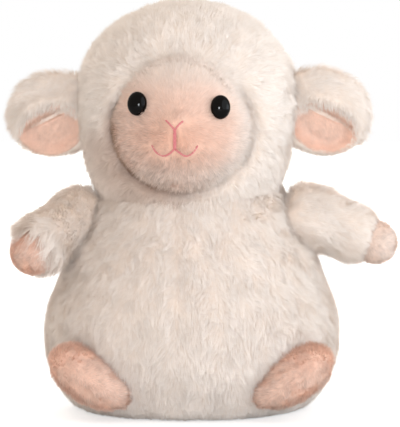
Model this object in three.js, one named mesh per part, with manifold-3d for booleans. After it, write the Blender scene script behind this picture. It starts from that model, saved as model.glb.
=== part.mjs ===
// Plush sheep, sitting: a pear-shaped stuffed body, a big round head, floppy ears, stub arms and small feet.
// Millimetres, +Z up, the face looks along -Y, and the origin is the middle of the flat seat.
// Left and right are the sheep's own, so its left side is at +X.
import * as THREE from 'three';
import { mergeVertices } from 'three/addons/utils/BufferGeometryUtils.js';
import Module from 'manifold-3d';

const wasm = await Module();
wasm.setup();

// Fabric and clearances
const longPile = 8; // backing and fur of the cream plush
const shortPile = 3.5; // backing and nap of the peach plush
const seamGap = 0.3; // between two pieces of one body
const hingeGap = 0.4; // between two pieces that move past each other
const overrun = 20; // how far a cutting shape runs past what it cuts

// Body
const bodyWidth = 144;
const bodyDepth = 130;
const bodyHeight = 111; // top of the neck dome
const seatCut = 0.5; // how deep the round form is cut flat where it rests
const basePanelRadius = 43;
const neckDomeRadius = 130;
const bodyProfileShares = [
  [0.42, 0.0],
  [0.66, 0.004],
  [0.76, 0.024],
  [0.83, 0.058],
  [0.9, 0.112],
  [0.954, 0.18],
  [0.988, 0.257],
  [1.0, 0.365],
  [0.977, 0.473],
  [0.92, 0.572],
  [0.84, 0.698],
  [0.731, 0.815],
  [0.646, 0.932],
  [0.56, 1.045],
];

// Bean pouch
const pouchRadius = 38;
const pouchHeight = 22;
const pouchShoulderShare = 0.92;
const pouchFlatShare = 0.72;

// Head
const headWidth = 107;
const headDepth = 93;
const headHeight = 100.5;
const headBelowMiddle = 53; // from the head's middle down to the form's lower end, inside the neck
const headCentreHeight = 150;
const headForward = 4;
const headLean = 2.4; // the head sits this far towards the sheep's right
const headTurn = 5.5; // degrees, towards the sheep's right
const headProfileShares = [
  [0.74, 0.0],
  [0.826, 0.07],
  [0.903, 0.159],
  [0.959, 0.259],
  [0.989, 0.368],
  [1.0, 0.478],
  [0.994, 0.577],
  [0.963, 0.672],
  [0.9, 0.746],
  [0.81, 0.811],
  [0.69, 0.876],
  [0.54, 0.93],
  [0.37, 0.971],
  [0.187, 0.994],
  [0.0, 1.0],
];

// Face: a domed panel in an oval opening of the hood, which narrows inwards
const faceWidth = 76;
const faceHeight = 80;
const faceBulge = 34; // from the middle of the dome to its front
const faceSetBack = 20; // from the head's middle to the dome's middle
const faceDrop = 12; // below the head's middle
const openingWidth = 69.5;
const openingHeight = 64;
const openingTaperShare = 0.6; // size of the opening at the head's middle, as a share of its size at the fur
const openingDepth = 36; // from the head's middle to where the opening has its full size
const openingBack = 8; // from the head's middle to the opening's narrow end

// Eyes
const eyeWidth = 9.2;
const eyeHeight = 11.2;
const eyeDomeDepth = 3.2; // how far it stands out of the pile
const eyeSink = 1; // how deep its flat back sits in the pile
const eyeSpacing = 38.5;
const eyeShift = 1.1; // the pair sits this far towards the sheep's left
const eyeLevelLeft = -3.2; // from the head's middle
const eyeLevelRight = -1.7;
const eyeStemRadius = 1.6;
const eyeStemLength = 9;
const eyeWasherRadius = 5.5;
const eyeWasherThickness = 1.4;

// Ears
const earLength = 52; // from the seam outwards, before the head cuts it
const earHeight = 46.5;
const earThickness = 21;
const earBeyondHead = 10.3; // from the head's widest side to the ear's middle
const earReach = headWidth / 2 + earBeyondHead;
const earBack = 4; // behind the head's middle
const earDropLeft = 6.6; // below the head's middle
const earDropRight = 8.2;
const earTiltForward = 12; // degrees, the top leans forward
const earHang = 20; // degrees, the outer end hangs down
const earSwing = 20; // degrees, forward and back from rest
const earHingeInset = 2.5; // from the head's widest side in to the seam that the ear swings on
const earHingeReach = headWidth / 2 - earHingeInset;
const cupWidth = 33;
const cupHeight = 28;
const cupDepth = 9.5;
const cupOutward = 4;
const cupDrop = 6;
const cupForward = 9;

// Arms
const shoulderInset = 15; // from the body's widest side in to the shoulder's middle
const shoulderReach = bodyWidth / 2 - shoulderInset;
const shoulderForward = 6;
const shoulderBelowNeck = 18; // from the neck dome's top down to the shoulder's middle
const shoulderHeight = bodyHeight - shoulderBelowNeck;
const shoulderRadius = 12;
const sleeveRadius = 15.4;
const sleeveLength = 29.5; // from the shoulder's middle to the hem
const hemRound = 3;
const hemBulgeShare = 0.33; // of the hem's rounding
const armCoreRadius = 8;
const handRadius = 10.8;
const handReach = 33; // from the shoulder's middle to the hand's
const coreEndShare = 0.7; // the core's radius half way into the shoulder
const armDroopLeft = 21; // degrees below level
const armDroopRight = 28; // degrees
const armLowerLeft = 15; // degrees that it can be pushed down from rest
const armLowerRight = 0; // degrees
const armForwardLeft = 6; // degrees towards the front
const armForwardRight = 52; // degrees
const armTopSwing = 5; // degrees above level that an arm reaches

// Feet
const footLength = 45; // heel to toe
const footDepth = 30;
const footThickness = 25;
const footInset = 25; // from the body's widest side in to the foot's middle
const footSetBack = 19; // from the body's front back to the foot's middle
const footReach = bodyWidth / 2 - footInset;
const footForward = bodyDepth / 2 - footSetBack;
const footHeight = 20.6;
const footRise = 30; // degrees, the toe points up
const footYaw = 22; // degrees, the toe points back along the body
const footFlex = 8; // degrees, both ways
const footHingeBack = 5; // from the foot's middle back to the seam that it flexes on
const footTaperShare = 0.22; // how much fuller the toe is than the heel
const soleDepth = 7; // thickness of the sole's cap

// Number of facets
const roundSegments = 30;
const softRings = 14;
const coreSegments = 18;
const coreRings = 8;
const limbSegments = 16;
const socketSegments = 28;
const smallSegments = 12;
const domeRings = 8;
const shoulderRings = 4;
const sweepStops = 2;

const colours = {
  cream: 0xe9ddd2,
  peach: 0xeccab8,
  peachInner: 0xe3bba4,
  filling: 0xf4f2ee,
  pouch: 0xd9d4c8,
  eye: 0x0b0908,
  washer: 0xf0f0ea,
};

const halfTurn = 180; // degrees
const quarterTurn = 90;
const weldShare = 1e-6; // corners closer than this share of the body's width are one corner
const toRadians = (degrees) => (degrees * Math.PI) / halfTurn;

// A closed solid from a geometry, with its seams merged and its faces turned outwards.
function solid(geometry, matrix = new THREE.Matrix4()) {
  const bare = new THREE.BufferGeometry();
  const source = geometry.index ? geometry.toNonIndexed() : geometry.clone();
  bare.setAttribute('position', source.getAttribute('position').clone());
  bare.applyMatrix4(matrix);
  const merged = mergeVertices(bare, weldShare * bodyWidth);
  const position = merged.getAttribute('position');
  const kept = [];
  let volume = 0;
  const corner = [new THREE.Vector3(), new THREE.Vector3(), new THREE.Vector3()];
  for (let i = 0; i < merged.index.count; i += 3) {
    const [a, b, c] = [0, 1, 2].map((k) => merged.index.getX(i + k));
    if (a === b || b === c || c === a) continue;
    [a, b, c].forEach((v, k) => corner[k].fromBufferAttribute(position, v));
    volume += corner[0].dot(corner[1].clone().cross(corner[2]));
    kept.push([a, b, c]);
  }
  if (volume < 0) kept.forEach((face) => face.reverse());
  return new wasm.Manifold(new wasm.Mesh({
    numProp: 3,
    vertProperties: new Float32Array(position.array),
    triVerts: new Uint32Array(kept.flat()),
  }));
}

// The geometry that draws a solid, in the frame that the matrix leads to.
function geometryOf(body, matrix = new THREE.Matrix4()) {
  const mesh = body.getMesh();
  const flat = new Float32Array(mesh.numVert * 3);
  for (let v = 0; v < mesh.numVert; v += 1) {
    for (let k = 0; k < 3; k += 1) flat[3 * v + k] = mesh.vertProperties[v * mesh.numProp + k];
  }
  const geometry = new THREE.BufferGeometry();
  geometry.setAttribute('position', new THREE.BufferAttribute(flat, 3));
  geometry.setIndex(new THREE.BufferAttribute(new Uint32Array(mesh.triVerts), 1));
  geometry.applyMatrix4(matrix);
  geometry.computeVertexNormals();
  return geometry;
}

// A solid moved into another frame
const transformed = (body, matrix) => solid(geometryOf(body), matrix);

// A form turned about +Z from [radius, height] points, squeezed front to back to its depth.
function turned(points, segments, depthRatio = 1) {
  const outline = points.map(([radius, height]) => new THREE.Vector2(Math.max(radius, 0), height));
  const geometry = new THREE.LatheGeometry(outline, segments);
  geometry.rotateX(Math.PI / 2);
  geometry.scale(1, depthRatio, 1);
  return geometry;
}

// A smooth outline through [radius share, height share] pairs, moved inwards by the inset.
// Points whose place on the outer outline is below the lowest height are left out.
function insetOutline({ shares, radius, height, foot }, inset, count, lowest = -Infinity) {
  const curve = new THREE.SplineCurve(shares.map(([r, h]) => new THREE.Vector2(r * radius, h * height + foot)));
  const points = [];
  for (let i = 0; i <= count; i += 1) {
    const outer = curve.getPoint(i / count);
    const along = curve.getTangent(i / count);
    if (outer.y < lowest) continue;
    points.push([Math.max(outer.x - along.y * inset, 0), outer.y + along.x * inset]);
  }
  return points;
}

// An ellipsoid with its full sizes along X, Y and Z.
function ellipsoid(sizeX, sizeY, sizeZ, segments, rings) {
  const geometry = new THREE.SphereGeometry(1, segments, rings);
  geometry.rotateX(Math.PI / 2);
  geometry.scale(sizeX / 2, sizeY / 2, sizeZ / 2);
  return geometry;
}

// A box from its lowest to its highest corner.
function boxBetween(low, high) {
  const geometry = new THREE.BoxGeometry(high[0] - low[0], high[1] - low[1], high[2] - low[2]);
  geometry.translate((low[0] + high[0]) / 2, (low[1] + high[1]) / 2, (low[2] + high[2]) / 2);
  return geometry;
}

// A mesh with its own material.
function piece(name, geometry, colour, roughness, metalness = 0) {
  const material = new THREE.MeshStandardMaterial({ color: colour, roughness, metalness });
  const mesh = new THREE.Mesh(geometry, material);
  mesh.name = name;
  return mesh;
}

const fabricRoughness = 0.95;
const pouchRoughness = 0.8;
const washerRoughness = 0.5;
const eyeRoughness = 0.12;
const united = (solids) => solids.reduce((sum, next) => sum.add(next));
const spread = (from, to, steps) =>
  Array.from({ length: steps + 1 }, (_, i) => from + ((to - from) * i) / steps);
const turnAbout = (point, axis, degrees) => {
  const turn = new THREE.Matrix4().makeRotationAxis(axis, toRadians(degrees));
  const there = new THREE.Matrix4().makeTranslation(point.x, point.y, point.z);
  return there.clone().multiply(turn).multiply(there.clone().invert());
};

const first = (points) => points[0];
const last = (points) => points[points.length - 1];

// Body form: a pear, cut flat where it rests
const bodyRatio = bodyDepth / bodyWidth;
const bodyOutline = {
  shares: bodyProfileShares,
  radius: bodyWidth / 2,
  height: bodyHeight + seatCut,
  foot: -seatCut,
};
function bodyForm(grow, rings) {
  const points = insetOutline(bodyOutline, -grow, rings);
  return turned([[0, first(points)[1]], ...points, [0, last(points)[1]]], roundSegments, bodyRatio);
}
const belowFloor = boxBetween([-bodyWidth, -bodyWidth, -overrun], [bodyWidth, bodyWidth, 0]);

// The neck dome is round about the neck's axis, so that the head can turn on it.
function neckDome(clearance) {
  const middle = bodyHeight + clearance - neckDomeRadius;
  return spread(0, bodyWidth / 2, domeRings)
    .map((r) => [r, middle + Math.sqrt(neckDomeRadius ** 2 - r ** 2)]);
}
function aboveNeck() {
  const dome = neckDome(0);
  const ceiling = bodyHeight + headHeight;
  return turned([...dome, [last(dome)[0], ceiling], [0, ceiling]], roundSegments);
}
function belowNeck() {
  const dome = neckDome(hingeGap);
  return turned([[0, 0], [last(dome)[0], 0], ...dome.reverse()], roundSegments);
}

// Arm frames: +Z runs from the shoulder to the hand, and the hinge raises the arm.
function armFrame(side, droop, lower, forward) {
  const level = Math.cos(toRadians(droop));
  const along = new THREE.Vector3(
    side * level * Math.cos(toRadians(forward)),
    -level * Math.sin(toRadians(forward)),
    -Math.sin(toRadians(droop)),
  );
  const hinge = along.clone().cross(new THREE.Vector3(0, 0, 1)).normalize();
  const group = new THREE.Group();
  group.position.set(side * shoulderReach, -shoulderForward, shoulderHeight);
  group.quaternion.setFromRotationMatrix(
    new THREE.Matrix4().makeBasis(hinge, along.clone().cross(hinge), along),
  );
  group.updateMatrixWorld(true);
  return { group, hinge, lift: droop + armTopSwing, lower };
}
const arms = {
  left: armFrame(1, armDroopLeft, armLowerLeft, armForwardLeft),
  right: armFrame(-1, armDroopRight, armLowerRight, armForwardRight),
};

// Outline of a sleeve: a round shoulder, a swell and a hem
function sleeveOutline(grow) {
  const shoulder = spread(-quarterTurn, 0, shoulderRings).map((angle) => [
    (shoulderRadius + grow) * Math.cos(toRadians(angle)),
    (shoulderRadius + grow) * Math.sin(toRadians(angle)),
  ]);
  return [
    ...shoulder,
    [(shoulderRadius + sleeveRadius) / 2 + grow, sleeveLength / 4],
    [sleeveRadius + grow, sleeveLength / 2],
    [sleeveRadius + grow, sleeveLength - hemRound],
    [sleeveRadius - hemRound * hemBulgeShare + grow, sleeveLength - hemRound * hemBulgeShare + grow],
    [sleeveRadius - hemRound + grow, sleeveLength + grow],
  ];
}

// The round socket that each shoulder turns in, and the room that the body needs while an arm swings
function shoulderBall({ group }, clearance) {
  const size = 2 * (shoulderRadius + clearance);
  return solid(ellipsoid(size, size, size, socketSegments, socketSegments / 2), group.matrixWorld);
}
const shoulderSockets = united(Object.values(arms).map((arm) => shoulderBall(arm, hingeGap)));
function bodyBesideArm(arm) {
  const shape = bodyForm(hingeGap, softRings);
  const swept = united(spread(-arm.lower, arm.lift, sweepStops).map((angle) =>
    solid(shape, turnAbout(arm.group.position, arm.hinge, -angle))));
  return transformed(
    swept.subtract(shoulderBall(arm, seamGap / 2)), arm.group.matrixWorld.clone().invert());
}

// Body cover: the pear-shaped bag, open at the neck, at the arms and at the base
function makeBodyCover() {
  const inner = insetOutline(bodyOutline, longPile, coreRings, longPile);
  const above = last(inner)[1] + overrun;
  const hollow = [[0, longPile], [first(inner)[0], longPile], ...inner, [last(inner)[0], above], [0, above]];
  const baseHole = basePanelRadius + seamGap;
  const baseOpening = [[0, -overrun], [baseHole, -overrun], [baseHole, 2 * longPile], [0, 2 * longPile]];
  return solid(bodyForm(0, softRings))
    .subtract(solid(turned(hollow, roundSegments, bodyRatio)))
    .subtract(solid(turned(baseOpening, roundSegments, bodyRatio)))
    .subtract(solid(belowFloor))
    .subtract(solid(aboveNeck()))
    .subtract(shoulderSockets);
}

// Base panel: the flat disc that closes the cover under the pouch
function makeBasePanel() {
  const top = longPile;
  return solid(turned([[0, 0], [basePanelRadius, 0], [basePanelRadius, top], [0, top]], roundSegments, bodyRatio));
}

// Bean pouch: a flattened bag of pellets that lies on the base panel
const pouchFloor = longPile + seamGap;
function pouchForm(grow) {
  const low = pouchFloor - grow;
  const high = pouchFloor + pouchHeight + grow;
  const shoulder = pouchRadius * pouchShoulderShare + grow;
  const flat = pouchRadius * pouchFlatShare;
  const quarter = (high - low) / 4;
  return turned([
    [0, low],
    [flat, low],
    [shoulder, low + quarter],
    [pouchRadius + grow, (low + high) / 2],
    [shoulder, high - quarter],
    [flat, high],
    [0, high],
  ], coreSegments, bodyRatio);
}

// Body filling: fills the cover from the base panel to the neck, around the pouch
function makeBodyFilling() {
  const outline = insetOutline(bodyOutline, longPile + seamGap, coreRings, longPile);
  const form = [[0, pouchFloor], [first(outline)[0], pouchFloor], ...outline, [0, last(outline)[1]]];
  const recessRadius = pouchRadius + seamGap;
  const recessTop = pouchFloor + pouchHeight / 2;
  const recess = [[0, -overrun], [recessRadius, -overrun], [recessRadius, recessTop], [0, recessTop]];
  return solid(turned(form, roundSegments, bodyRatio))
    .subtract(solid(turned(recess, coreSegments, bodyRatio)))
    .subtract(solid(pouchForm(seamGap)))
    .subtract(solid(aboveNeck()))
    .subtract(shoulderSockets);
}

// Head frame: its middle, turned a little towards the sheep's right
const headGroup = new THREE.Group();
headGroup.position.set(-headLean, -headForward, headCentreHeight);
headGroup.rotation.z = -toRadians(headTurn);
headGroup.updateMatrixWorld(true);
const intoHead = headGroup.matrixWorld.clone().invert();

// Head form, in the head's frame
const headRatio = headDepth / headWidth;
const headOutline = {
  shares: headProfileShares,
  radius: headWidth / 2,
  height: headHeight,
  foot: -headBelowMiddle,
};
function headForm(inset, rings) {
  const points = insetOutline(headOutline, inset, rings);
  const crown = headHeight - headBelowMiddle - inset;
  return turned([[0, first(points)[1]], ...points, [0, crown]], roundSegments, headRatio);
}
function headHollow(inset) {
  const points = insetOutline(headOutline, inset, coreRings);
  const below = first(points)[1] - overrun;
  const crown = headHeight - headBelowMiddle - inset;
  return turned([[0, below], [first(points)[0], below], ...points, [0, crown]], roundSegments, headRatio);
}

// Face opening: an oval that narrows inwards from the fur
function faceOpening(clearance) {
  const front = openingDepth + overrun;
  const slope = (1 - openingTaperShare) / openingDepth;
  const sizeAt = (depth) => openingTaperShare + slope * depth;
  const cone = new THREE.CylinderGeometry(sizeAt(openingBack), sizeAt(front), front - openingBack, roundSegments);
  cone.translate(0, -(front + openingBack) / 2, 0);
  cone.scale(openingWidth / 2 - clearance, 1, openingHeight / 2 - clearance);
  cone.translate(0, 0, -faceDrop);
  return cone;
}

// Face dome, smaller all round by the inset
function faceDome(inset) {
  const dome = ellipsoid(
    faceWidth - 2 * inset, 2 * (faceBulge - inset), faceHeight - 2 * inset, coreSegments, coreRings);
  dome.translate(0, -faceSetBack, -faceDrop);
  return dome;
}

// Eye frames: on the dome, +Z looking out of the face
function eyeFrame(side, level) {
  const x = (side * eyeSpacing) / 2 + eyeShift;
  const [a, b, c] = [faceWidth / 2, faceBulge, faceHeight / 2];
  const rise = level + faceDrop;
  const out = b * Math.sqrt(1 - (x / a) ** 2 - (rise / c) ** 2);
  const normal = new THREE.Vector3(x / a ** 2, -out / b ** 2, rise / c ** 2).normalize();
  const group = new THREE.Group();
  group.position.set(x, -faceSetBack - out, level);
  group.quaternion.setFromUnitVectors(new THREE.Vector3(0, -1, 0), normal);
  group.rotateX(Math.PI / 2);
  group.updateMatrix();
  return group;
}
const eyes = { left: eyeFrame(1, eyeLevelLeft), right: eyeFrame(-1, eyeLevelRight) };

// Eye: a glossy oval dome on a stem that passes through the panel
function makeEye(grow) {
  const dome = ellipsoid(
    eyeWidth + 2 * grow, eyeHeight + 2 * grow, 2 * (eyeDomeDepth + eyeSink), smallSegments, smallSegments / 2);
  dome.translate(0, 0, -eyeSink);
  const back = -eyeSink - grow;
  const behind = boxBetween([-eyeHeight, -eyeHeight, back - eyeHeight], [eyeHeight, eyeHeight, back]);
  const stem = turned([
    [0, -eyeStemLength - grow],
    [eyeStemRadius + grow, -eyeStemLength - grow],
    [eyeStemRadius + grow, 0],
    [0, 0],
  ], smallSegments);
  return solid(dome).subtract(solid(behind)).add(solid(stem));
}

// Washer: pushed over the stem behind the panel, and the room that the fabric and the filling leave it
const washerTop = -(shortPile + eyeSink);
function washerOutline(holeRadius, grow, top = washerTop + grow) {
  const bottom = washerTop - eyeWasherThickness - grow;
  const rim = eyeWasherRadius + grow;
  return [[holeRadius, bottom], [rim, bottom], [rim, top], [holeRadius, top]];
}
function makeEyeWasher() {
  const outline = washerOutline(eyeStemRadius + seamGap, 0);
  return solid(turned([...outline, first(outline)], smallSegments));
}
function eyeRooms(top) {
  const washer = turned(washerOutline(0, seamGap, top), smallSegments);
  return united(Object.values(eyes).map((group) =>
    solid(washer, group.matrix).add(transformed(makeEye(seamGap), group.matrix))));
}

// Hood: the head's cream cover, open at the face and at the neck
function makeHood() {
  return solid(headForm(0, softRings))
    .subtract(solid(headHollow(longPile)))
    .subtract(solid(faceOpening(0)))
    .subtract(solid(belowNeck(), intoHead));
}

// Face panel: a domed cap of short pile, cut to the opening, with a seat for each eye
function makeFacePanel() {
  return solid(faceDome(0))
    .subtract(solid(faceDome(shortPile)))
    .intersect(solid(faceOpening(seamGap)))
    .subtract(solid(belowNeck(), intoHead))
    .subtract(eyeRooms(washerTop + seamGap));
}

// Head filling: fills the hood and the back of the face panel
function makeHeadFilling() {
  const faceCore = solid(faceDome(shortPile + seamGap));
  return solid(headForm(longPile + seamGap, coreRings))
    .subtract(solid(faceOpening(0)).subtract(faceCore))
    .add(faceCore.intersect(solid(faceOpening(seamGap))))
    .subtract(solid(belowNeck(), intoHead))
    .subtract(eyeRooms(0));
}

// Ear frames, in the head's frame: +X of the head runs outwards on the left side
function earFrame(side, drop) {
  const group = new THREE.Group();
  group.position.set(side * earReach, earBack, -drop);
  group.rotation.set(toRadians(earTiltForward), toRadians(side * earHang), 0);
  group.updateMatrix();
  return { group, side, hinge: new THREE.Vector3(side * earHingeReach, earBack, 0) };
}
const ears = { left: earFrame(1, earDropLeft), right: earFrame(-1, earDropRight) };

// The room that the head needs while an ear swings about its upright seam, in the ear's frame
function headBesideEar({ group, hinge }) {
  const intoEar = group.matrix.clone().invert();
  const shape = headForm(-hingeGap, softRings);
  return united(spread(-earSwing, earSwing, sweepStops).map((angle) => {
    const swing = turnAbout(hinge, new THREE.Vector3(0, 0, 1), angle);
    return solid(shape, intoEar.clone().multiply(swing));
  }));
}

// Ear: a thick leaf of long pile with a cup in its lower front, and a short-pile lining in the cup
function earLeaf() {
  return solid(ellipsoid(earLength, earThickness, earHeight, coreSegments, coreRings));
}
function earCup(side, inset) {
  const cup = ellipsoid(
    cupWidth - 2 * inset, 2 * (cupDepth - inset), cupHeight - 2 * inset, coreSegments, coreRings);
  cup.translate(side * cupOutward, -cupForward, -cupDrop);
  return solid(cup);
}
function makeEarOuter(ear) {
  return earLeaf().subtract(earCup(ear.side, 0)).subtract(headBesideEar(ear));
}
function makeEarLining(ear) {
  return earCup(ear.side, seamGap)
    .subtract(earCup(ear.side, seamGap + shortPile))
    .intersect(earLeaf())
    .subtract(headBesideEar(ear));
}

// Sleeve: a thimble of long pile, open at the hem
function makeSleeve(arm) {
  const outer = sleeveOutline(0);
  const coreTop = handReach - handRadius - seamGap;
  const mouth = handRadius + seamGap;
  const coreFloor = armCoreRadius - shoulderRadius;
  return solid(turned([
    ...outer,
    [mouth, sleeveLength - hemRound * hemBulgeShare],
    [mouth, coreTop],
    [armCoreRadius, coreTop],
    [armCoreRadius, 0],
    [armCoreRadius * coreEndShare, coreFloor / 2],
    [0, coreFloor],
  ], limbSegments)).subtract(bodyBesideArm(arm));
}

// Arm filling: the core of the sleeve, behind the hand
function makeArmFilling() {
  const radius = armCoreRadius - seamGap;
  const top = handReach - handRadius - 2 * seamGap;
  const coreFloor = armCoreRadius - shoulderRadius + 2 * seamGap;
  return solid(turned([
    [0, coreFloor],
    [radius * coreEndShare, coreFloor / 2],
    [radius, seamGap],
    [radius, top],
    [0, top],
  ], limbSegments));
}

// Hand: a round end of short pile that fills the hem
function makeHand() {
  const hand = ellipsoid(2 * handRadius, 2 * handRadius, 2 * handRadius, limbSegments, limbSegments / 2);
  hand.translate(0, 0, handReach);
  return solid(hand);
}

// Foot frames: +X along the foot, +Z up and inwards over its instep
function footFrame(side) {
  const level = Math.cos(toRadians(footRise));
  const along = new THREE.Vector3(
    side * level * Math.cos(toRadians(footYaw)),
    level * Math.sin(toRadians(footYaw)),
    Math.sin(toRadians(footRise)),
  ).multiplyScalar(side);
  const back = new THREE.Vector3(0, 1, 0).addScaledVector(along, -along.y).normalize();
  const group = new THREE.Group();
  group.position.set(side * footReach, -footForward, footHeight);
  group.quaternion.setFromRotationMatrix(new THREE.Matrix4().makeBasis(along, back, along.clone().cross(back)));
  group.updateMatrixWorld(true);
  return { group, side };
}
const feet = { left: footFrame(1), right: footFrame(-1) };

// Foot form: an egg, fuller at the toe
function footForm(side, inset) {
  const egg = ellipsoid(
    footLength - 2 * inset, footDepth - 2 * inset, footThickness - 2 * inset, coreSegments, coreRings);
  const position = egg.getAttribute('position');
  for (let i = 0; i < position.count; i += 1) {
    const full = 1 + (footTaperShare * side * position.getX(i)) / footLength;
    position.setXYZ(i, position.getX(i), position.getY(i) * full, position.getZ(i) * full);
  }
  return solid(egg);
}

// The room that the body needs while a foot flexes, in the foot's frame
function bodyBehindFoot({ group }) {
  const intoFoot = group.matrixWorld.clone().invert();
  const shape = bodyForm(hingeGap, softRings);
  const hinge = new THREE.Vector3(0, footHingeBack, 0);
  return united(spread(-footFlex, footFlex, sweepStops).map((angle) =>
    solid(shape, turnAbout(hinge, new THREE.Vector3(1, 0, 0), angle).multiply(intoFoot))));
}

// Everything on one side of the seam between a foot's upper and its sole
function besideSoleSeam(direction, gap) {
  const seam = soleDepth - footThickness / 2 + (direction * gap) / 2;
  const far = direction * footLength;
  return solid(boxBetween(
    [-footLength, -footLength, Math.min(seam, far)], [footLength, footLength, Math.max(seam, far)]));
}
function makeFootUpper(foot) {
  return footForm(foot.side, 0)
    .intersect(besideSoleSeam(1, seamGap))
    .subtract(footForm(foot.side, shortPile))
    .subtract(bodyBehindFoot(foot));
}
function makeFootSole(foot) {
  return footForm(foot.side, 0).intersect(besideSoleSeam(-1, seamGap)).subtract(bodyBehindFoot(foot));
}
function makeFootFilling(foot) {
  return footForm(foot.side, shortPile + seamGap)
    .intersect(besideSoleSeam(1, seamGap))
    .subtract(bodyBehindFoot(foot));
}

// Assembly
const sheep = new THREE.Group();
const cream = (name, body, frame) => piece(name, geometryOf(body, frame), colours.cream, fabricRoughness);
const peach = (name, body, frame) => piece(name, geometryOf(body, frame), colours.peach, fabricRoughness);
const stuffing = (name, body, frame) => piece(name, geometryOf(body, frame), colours.filling, fabricRoughness);

sheep.add(
  cream('body_cover', makeBodyCover()),
  cream('base_panel', makeBasePanel()),
  stuffing('body_filling', makeBodyFilling()),
  piece('bean_pouch', geometryOf(solid(pouchForm(0))), colours.pouch, pouchRoughness),
);

headGroup.add(
  cream('hood', makeHood()),
  peach('face_panel', makeFacePanel()),
  stuffing('head_filling', makeHeadFilling()),
);
sheep.add(headGroup);

for (const [side, group] of Object.entries(eyes)) {
  group.add(
    piece(`eye_${side}`, geometryOf(makeEye(0)), colours.eye, eyeRoughness),
    piece(`eye_washer_${side}`, geometryOf(makeEyeWasher()), colours.washer, washerRoughness),
  );
  headGroup.add(group);
}

for (const [side, ear] of Object.entries(ears)) {
  ear.group.add(
    cream(`ear_outer_${side}`, makeEarOuter(ear)),
    piece(`ear_lining_${side}`, geometryOf(makeEarLining(ear)), colours.peachInner, fabricRoughness),
  );
  headGroup.add(ear.group);
}

for (const [side, arm] of Object.entries(arms)) {
  arm.group.add(
    cream(`sleeve_${side}`, makeSleeve(arm)),
    stuffing(`arm_filling_${side}`, makeArmFilling()),
    peach(`hand_${side}`, makeHand()),
  );
  sheep.add(arm.group);
}

for (const [side, foot] of Object.entries(feet)) {
  foot.group.add(
    peach(`foot_upper_${side}`, makeFootUpper(foot)),
    peach(`foot_sole_${side}`, makeFootSole(foot)),
    stuffing(`foot_filling_${side}`, makeFootFilling(foot)),
  );
  sheep.add(foot.group);
}

export default sheep;
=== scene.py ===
import copy
import math

import bpy
import numpy as np
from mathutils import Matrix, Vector, kdtree


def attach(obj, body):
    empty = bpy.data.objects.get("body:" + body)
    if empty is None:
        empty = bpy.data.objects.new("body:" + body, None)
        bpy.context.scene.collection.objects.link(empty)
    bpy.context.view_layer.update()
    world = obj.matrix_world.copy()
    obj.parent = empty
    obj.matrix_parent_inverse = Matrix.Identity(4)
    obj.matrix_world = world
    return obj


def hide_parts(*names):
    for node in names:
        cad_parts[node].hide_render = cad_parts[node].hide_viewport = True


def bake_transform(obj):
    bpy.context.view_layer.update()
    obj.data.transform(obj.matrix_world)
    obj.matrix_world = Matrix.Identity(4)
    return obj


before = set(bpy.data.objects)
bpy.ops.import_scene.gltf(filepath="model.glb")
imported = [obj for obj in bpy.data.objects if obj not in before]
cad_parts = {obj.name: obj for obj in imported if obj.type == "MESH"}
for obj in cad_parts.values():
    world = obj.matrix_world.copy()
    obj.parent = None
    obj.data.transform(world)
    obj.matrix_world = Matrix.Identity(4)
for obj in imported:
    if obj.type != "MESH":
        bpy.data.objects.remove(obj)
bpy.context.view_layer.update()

# Every length below is in millimetres, and a mesh is made in metres.
MM = 0.001
POLE_GAP = 0.02  # an egg's grid stops this far from its poles, in radians
SIDES = {"left": 1, "right": -1}
DENSITY = 1.0
PILE_SEED, LATTICE_SEED, LATTICE_SIZE = 41, 5, 32
rng = np.random.default_rng(PILE_SEED)

# Body
BODY_WIDTH, BODY_DEPTH, BODY_TOP = 144, 130, 111
SEAT_CUT = 0.5
BASE_RADIUS = 43
BASE_OUTLINE = [
    (6, 0.1), (14, 0.1), (22, 0.12), (30, 0.12), (37, 0.15), (41, 0.25), (42.5, 0.7), (42.7, 1.4), (42, 2.4),
    (36, 4.0), (20, 5.0), (6, 5.2),
]
BODY_SHARES = [
    (0.42, 0.0), (0.66, 0.004), (0.76, 0.024), (0.83, 0.058), (0.9, 0.112), (0.954, 0.18), (0.988, 0.257),
    (1.0, 0.365), (0.977, 0.473), (0.92, 0.572), (0.84, 0.698), (0.731, 0.815), (0.646, 0.932), (0.56, 1.045),
]
LOWEST = 0.4  # the level of the backing at the seat
FRONT_SEAM = -7.0  # the seam down the front lies this far to the sheep's right
SEAM_DEPTH, SEAM_HALF, SEAM_PARTING = 1.7, 2.4, 0.8

# Pile
LONG_INSET = 3.8  # from the tips of the long pile in to its backing
LONG_PILE = 6.6
PILE_LAYERS = [  # fibres to a square millimetre, width, share of the length, bands, clumping
    (0.9, 0.26, 1.0, 2, 0.45),
    (3.4, 0.22, 0.94, 1, 0.4),
    (1.6, 0.42, 0.7, 1, 0.2),
]
PILE_CLUMP, PILE_CURL, PILE_GRAIN, PILE_MOTTLE = 2.2, 0.75, 0.21, 0.13
PIECE_FACES = 180000
SHORT_INSET = 1.5
SHORT_PILE = 2.3
SWIRLS = [(13.0, 5.3, 0.4), (4.0, 9.1, 1.1)]  # size, offset and strength of each swirl of the fibres
ROOT_DEPTH, KINK, FLATNESS = 0.35, 0.48, 0.3  # a fibre's root under the skin, its bend and its section
FEWEST_CLUMPED = 20

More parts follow.
